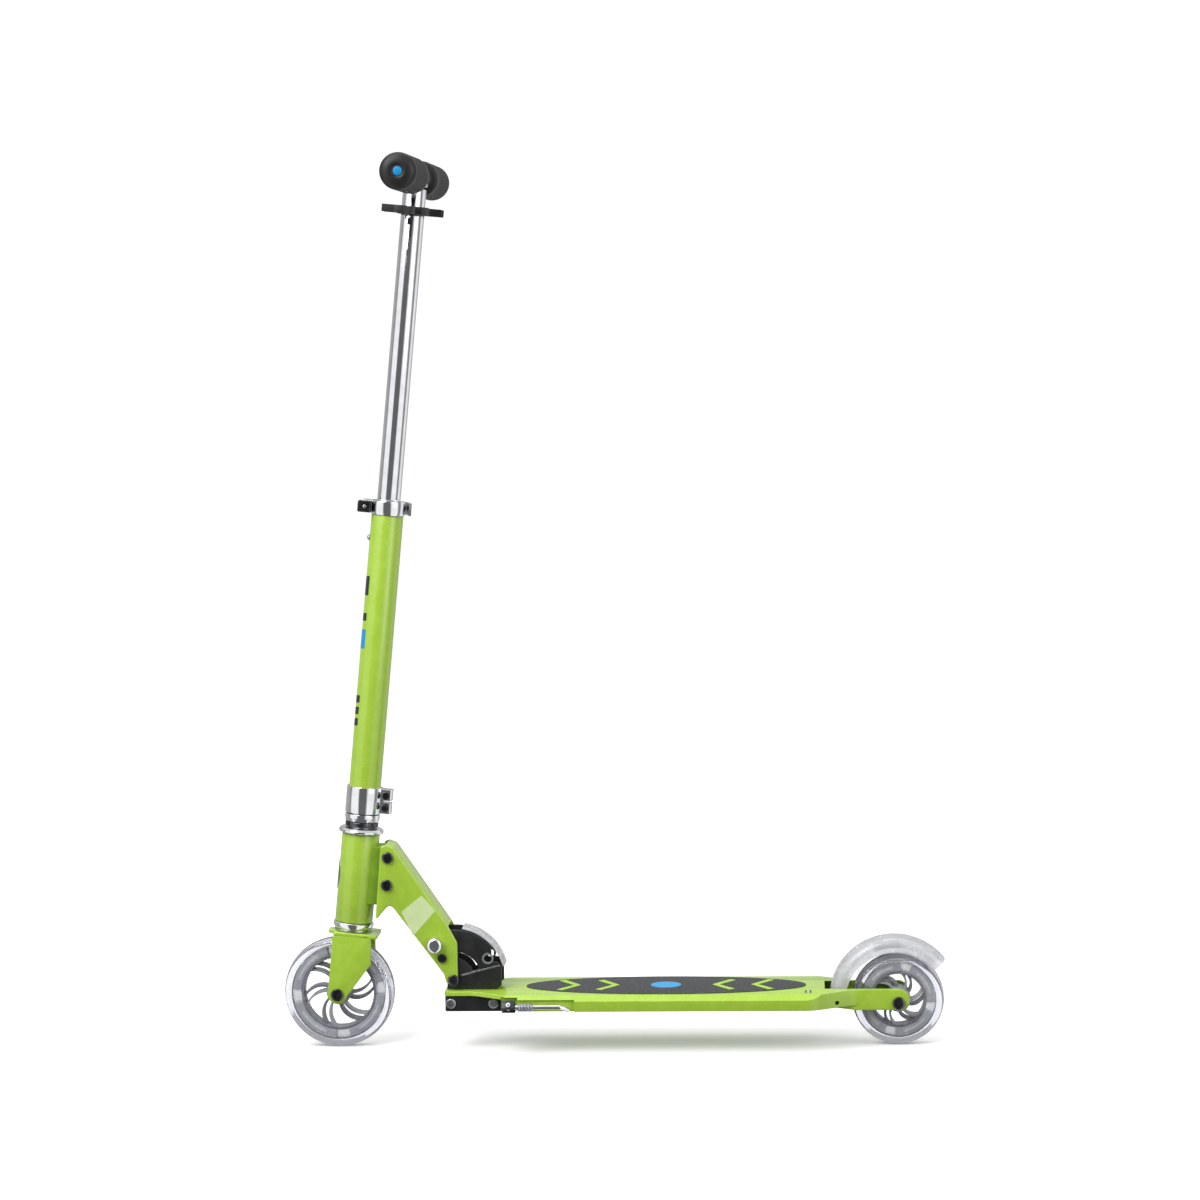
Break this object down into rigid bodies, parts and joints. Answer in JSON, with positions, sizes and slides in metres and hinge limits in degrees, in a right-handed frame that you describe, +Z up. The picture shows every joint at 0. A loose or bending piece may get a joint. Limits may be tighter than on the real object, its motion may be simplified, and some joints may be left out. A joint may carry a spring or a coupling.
{
  "type": "kick scooter",
  "caption": "Child's folding kick scooter with a slim aluminium deck, telescopic T handlebar, clear wheels and a spring fender brake.",
  "frame": {"origin": "on the ground, under the middle of the scooter's bounding box", "axes": "+X from the front wheel to the rear wheel, +Y to the rider's right, +Z up"},
  "size_m": [0.7169, 0.34, 0.9581],
  "materials": {
    "lime_paint": "lime green powder coat with a soft gloss",
    "lime_aluminium": "lime green powder coat on extruded aluminium",
    "chrome": "bright chrome plate",
    "steel": "plain zinc-plated steel",
    "black_steel": "black oxide and black paint",
    "black_rubber": "matte black rubber",
    "black_plastic": "moulded black nylon",
    "clear_polyurethane": "clear cast polyurethane",
    "clear_plastic": "translucent moulded plastic",
    "grey_core": "smoky translucent nylon",
    "nylon": "natural nylon"
  },
  "bodies": {
    "deck": {"deck": "lime_aluminium", "grip_mat": "black_rubber", "base_block": "black_steel", "block_bolt_front": "steel", "block_bolt_rear": "steel", "fold_plate_left": "black_steel", "fold_plate_right": "black_steel", "fold_pivot_bolt": "black_steel", "fold_guard": "clear_plastic", "rear_axle_bolt": "black_steel", "fender_pin": "steel", "stand_bracket": "black_steel", "stand_pin": "steel"},
    "neck": {"neck": "lime_paint", "head_tube": "lime_paint", "neck_bolt_upper": "black_steel", "neck_bolt_lower": "black_steel", "guide_bolt": "black_steel", "upper_cup": "chrome", "lower_cup": "chrome", "upper_bearing": "steel", "lower_bearing": "steel"},
    "lock_knob": {"lock_knob": "chrome"},
    "steering_column": {"fork": "lime_paint", "crown_race": "chrome", "headset_cone": "chrome", "headset_locknut": "chrome", "lower_clamp": "chrome", "clamp_bolt_upper": "black_steel", "clamp_bolt_lower": "black_steel", "outer_tube": "lime_aluminium", "tube_bushing": "nylon", "qr_collar": "chrome", "qr_bolt": "black_steel", "front_axle_bolt": "black_steel"},
    "qr_lever": {"qr_lever": "chrome"},
    "height_button": {"height_button": "steel"},
    "handlebar": {"t_bar": "chrome", "grip_clip": "black_plastic"},
    "left_grip": {"grip_left": "black_rubber", "grip_tube_left": "chrome"},
    "right_grip": {"grip_right": "black_rubber", "grip_tube_right": "chrome"},
    "left_grip_button": {"grip_button_left": "steel"},
    "right_grip_button": {"grip_button_right": "steel"},
    "front_wheel": {"front_tyre": "clear_polyurethane", "front_core": "grey_core", "front_bearing_left": "steel", "front_bearing_right": "steel", "front_bearing_spacer": "steel"},
    "rear_wheel": {"rear_tyre": "clear_polyurethane", "rear_core": "grey_core", "rear_bearing_left": "steel", "rear_bearing_right": "steel", "rear_bearing_spacer": "steel"},
    "fender_brake": {"fender": "clear_plastic", "brake_shoe": "steel"},
    "kickstand": {"stand_leg": "chrome", "stand_spring": "steel"}
  },
  "joints": [
    {"name": "neck_fold", "type": "hinge", "parent": "deck", "child": "neck", "pos_m": [-0.1719, 0, 0.0754], "axis": [0, 1, 0], "range_deg": [0, 85]},
    {"name": "lock_knob_pull", "type": "slide", "parent": "neck", "child": "lock_knob", "axis": [0, -1, 0], "range_m": [0, 0.006], "stiffness_N_per_m": 400},
    {"name": "steering", "type": "hinge", "parent": "neck", "child": "steering_column", "pos_m": [-0.27726, 0, 0.17934], "axis": [0.1045, 0, 0.9945], "continuous": true},
    {"name": "height_slide", "type": "slide", "parent": "steering_column", "child": "handlebar", "axis": [0.1045, 0, 0.9945], "range_m": [-0.26, 0]},
    {"name": "qr_lever_open", "type": "hinge", "parent": "steering_column", "child": "qr_lever", "pos_m": [-0.25836, 0.0128, 0.58876], "axis": [0.1045, 0, 0.9945], "range_deg": [0, 100]},
    {"name": "height_button_press", "type": "slide", "parent": "steering_column", "child": "height_button", "axis": [0.9945, 0, -0.1045], "range_m": [0, 0.0015], "stiffness_N_per_m": 300},
    {"name": "left_grip_pull", "type": "slide", "parent": "handlebar", "child": "left_grip", "axis": [0, -1, 0], "range_m": [0, 0.03]},
    {"name": "right_grip_pull", "type": "slide", "parent": "handlebar", "child": "right_grip", "axis": [0, 1, 0], "range_m": [0, 0.03]},
    {"name": "left_grip_button_press", "type": "slide", "parent": "left_grip", "child": "left_grip_button", "axis": [0.9945, 0, -0.1045], "range_m": [0, 0.003], "stiffness_N_per_m": 300},
    {"name": "right_grip_button_press", "type": "slide", "parent": "right_grip", "child": "right_grip_button", "axis": [0.9945, 0, -0.1045], "range_m": [0, 0.003], "stiffness_N_per_m": 300},
    {"name": "front_wheel_spin", "type": "hinge", "parent": "steering_column", "child": "front_wheel", "pos_m": [-0.2985, 0, 0.06], "axis": [0, 1, 0], "continuous": true},
    {"name": "rear_wheel_spin", "type": "hinge", "parent": "deck", "child": "rear_wheel", "pos_m": [0.3075, 0, 0.0495], "axis": [0, 1, 0], "continuous": true},
    {"name": "fender_press", "type": "hinge", "parent": "deck", "child": "fender_brake", "pos_m": [0.2415, 0, 0.052], "axis": [0, 1, 0], "range_deg": [0, 4], "stiffness_Nm_per_rad": 3, "springref_deg": -6.88},
    {"name": "kickstand_swing", "type": "hinge", "parent": "deck", "child": "kickstand", "pos_m": [-0.1095, -0.0605, 0.0528], "axis": [0, 0.8, -0.6], "range_deg": [0, 90]}
  ]
}
